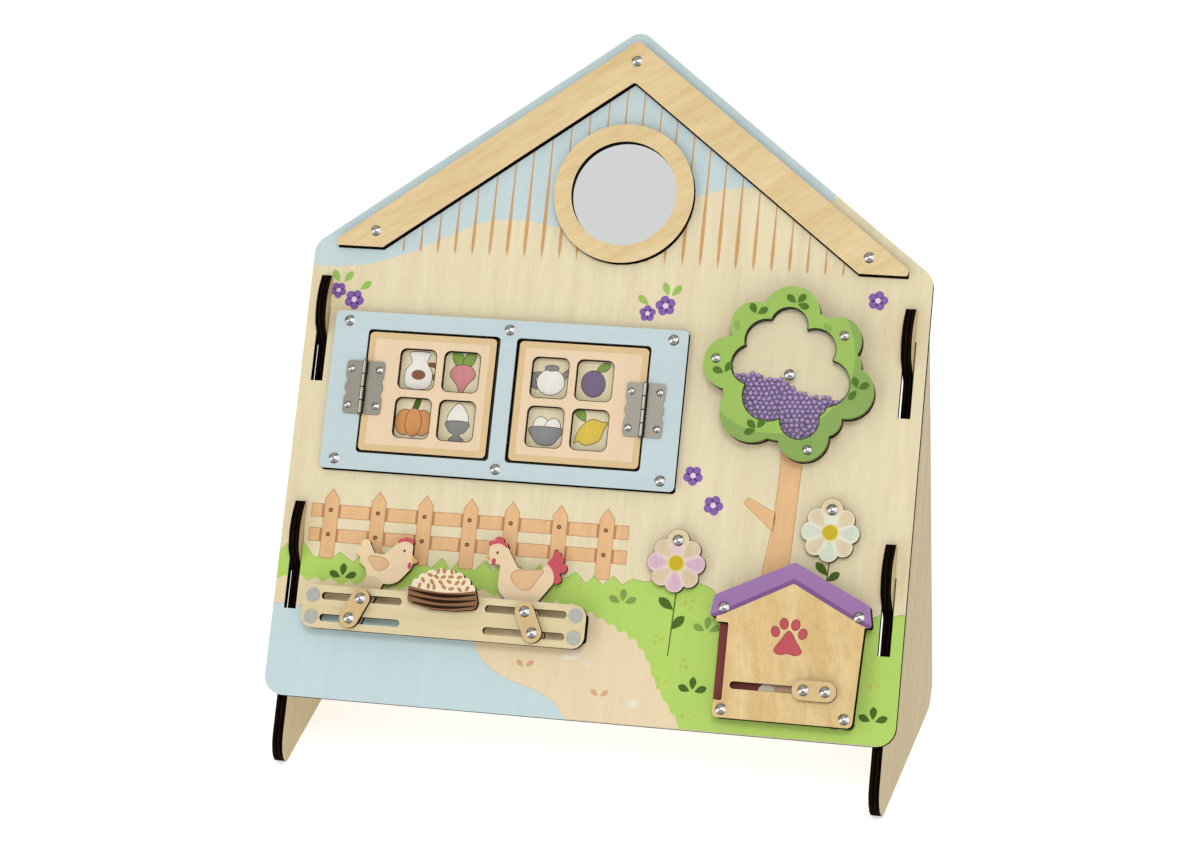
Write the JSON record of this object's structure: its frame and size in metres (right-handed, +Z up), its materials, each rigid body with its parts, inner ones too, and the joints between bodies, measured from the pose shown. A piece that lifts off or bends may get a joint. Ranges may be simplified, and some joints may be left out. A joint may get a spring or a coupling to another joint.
{
  "type": "wooden busy board",
  "caption": "House-shaped wooden busy board on two hooked side panels, with swinging shutters, mirror, turning bead tree, swinging flowers, pecking hens and a sliding kennel picture.",
  "frame": {"origin": "on the floor, under the middle of the whole object's bounding box", "axes": "+X to the right seen from the front, +Y to the back, +Z up; the board faces -Y and leans back 30 degrees"},
  "size_m": [0.368, 0.2113, 0.3875],
  "materials": {
    "board_ply": "satin printed",
    "plain_ply": "sanded",
    "mirror": "polished",
    "blue_ply": "satin printed",
    "shutter_ply": "satin printed",
    "hinge_steel": "brushed",
    "rivet_steel": "polished",
    "green_ply": "satin printed",
    "clear_window": "clear",
    "beads": "gloss",
    "washer": "matt",
    "pink_flower": "satin printed",
    "cream_flower": "satin printed",
    "bowl_ply": "satin printed",
    "hen_ply": "satin printed",
    "kennel_ply": "satin printed",
    "wine_ply": "satin printed"
  },
  "bodies": {
    "board": {"front_board": "board_ply", "slide_bar": "board_ply", "side_panel_left": "plain_ply", "side_panel_right": "plain_ply", "roof_trim": "plain_ply", "mirror_ring": "plain_ply", "bar_spacers": "plain_ply", "kennel_spacer": "plain_ply", "mirror_disc": "mirror", "window_frame": "blue_ply", "hinge_left_frame_leaf": "hinge_steel", "hinge_left_pin": "hinge_steel", "hinge_right_frame_leaf": "hinge_steel", "hinge_right_pin": "hinge_steel", "bar_studs": "hinge_steel", "roof_trim_rivets": "rivet_steel", "window_frame_rivets": "rivet_steel", "hinge_left_frame_rivets": "rivet_steel", "hinge_right_frame_rivets": "rivet_steel", "tree_axle_rivet": "rivet_steel", "flower_left_rivet": "rivet_steel", "flower_right_rivet": "rivet_steel", "kennel_rivets": "rivet_steel", "tree_washer": "washer", "flower_left_washer": "washer", "flower_right_washer": "washer", "feed_bowl": "bowl_ply", "kennel_front": "kennel_ply"},
    "shutter_left": {"shutter_left": "shutter_ply", "hinge_left_shutter_leaf": "hinge_steel", "hinge_left_shutter_rivets": "rivet_steel"},
    "shutter_right": {"shutter_right": "shutter_ply", "hinge_right_shutter_leaf": "hinge_steel", "hinge_right_shutter_rivets": "rivet_steel"},
    "tree": {"tree_back_plate": "plain_ply", "tree_chamber_ring": "plain_ply", "tree_window": "clear_window", "tree_front_ring": "green_ply", "tree_rivets": "rivet_steel", "tree_beads": "beads"},
    "flower_left": {"flower_left": "pink_flower"},
    "flower_right": {"flower_right": "cream_flower"},
    "hen_left_slider": {"hen_left_pivot_rivet": "rivet_steel"},
    "hen_left": {"hen_left": "hen_ply", "hen_left_link": "plain_ply", "hen_left_guide_rivet": "rivet_steel"},
    "hen_right_slider": {"hen_right_pivot_rivet": "rivet_steel"},
    "hen_right": {"hen_right": "hen_ply", "hen_right_link": "plain_ply", "hen_right_guide_rivet": "rivet_steel"},
    "kennel_slide": {"kennel_slide_panel": "wine_ply", "kennel_slide_link": "plain_ply", "kennel_slide_rivets": "rivet_steel"}
  },
  "joints": [
    {"name": "shutter_left_swing", "type": "hinge", "parent": "board", "child": "shutter_left", "pos_m": [-0.14, -0.01397, 0.20127], "axis": [0, -0.5, -0.866], "range_deg": [0, 165]},
    {"name": "shutter_right_swing", "type": "hinge", "parent": "board", "child": "shutter_right", "pos_m": [0.0244, -0.01522, 0.1991], "axis": [0, 0.5, 0.866], "range_deg": [0, 165]},
    {"name": "tree_spin", "type": "hinge", "parent": "board", "child": "tree", "pos_m": [0.1053, -0.00204, 0.22013], "axis": [0, -0.866, 0.5], "continuous": true},
    {"name": "flower_left_swing", "type": "hinge", "parent": "board", "child": "flower_left", "pos_m": [0.051, -0.04858, 0.13511], "axis": [0, -0.866, 0.5], "range_deg": [-130, 130]},
    {"name": "flower_right_swing", "type": "hinge", "parent": "board", "child": "flower_right", "pos_m": [0.1352, -0.03688, 0.15538], "axis": [0, -0.866, 0.5], "range_deg": [-130, 130]},
    {"name": "hen_left_slide", "type": "slide", "parent": "board", "child": "hen_left_slider", "axis": [1, 0, 0], "range_m": [-0.0135, 0.018]},
    {"name": "hen_left_rock", "type": "hinge", "parent": "hen_left_slider", "child": "hen_left", "pos_m": [-0.1254, -0.07678, 0.09666], "axis": [0, -0.866, 0.5], "range_deg": [0, 25]},
    {"name": "hen_right_slide", "type": "slide", "parent": "board", "child": "hen_right_slider", "axis": [1, 0, 0], "range_m": [-0.018, 0.0135]},
    {"name": "hen_right_rock", "type": "hinge", "parent": "hen_right_slider", "child": "hen_right", "pos_m": [-0.0302, -0.07678, 0.09666], "axis": [0, 0.866, -0.5], "range_deg": [0, 25]},
    {"name": "kennel_picture_slide", "type": "slide", "parent": "board", "child": "kennel_slide", "axis": [-1, 0, 0], "range_m": [0, 0.039]}
  ]
}
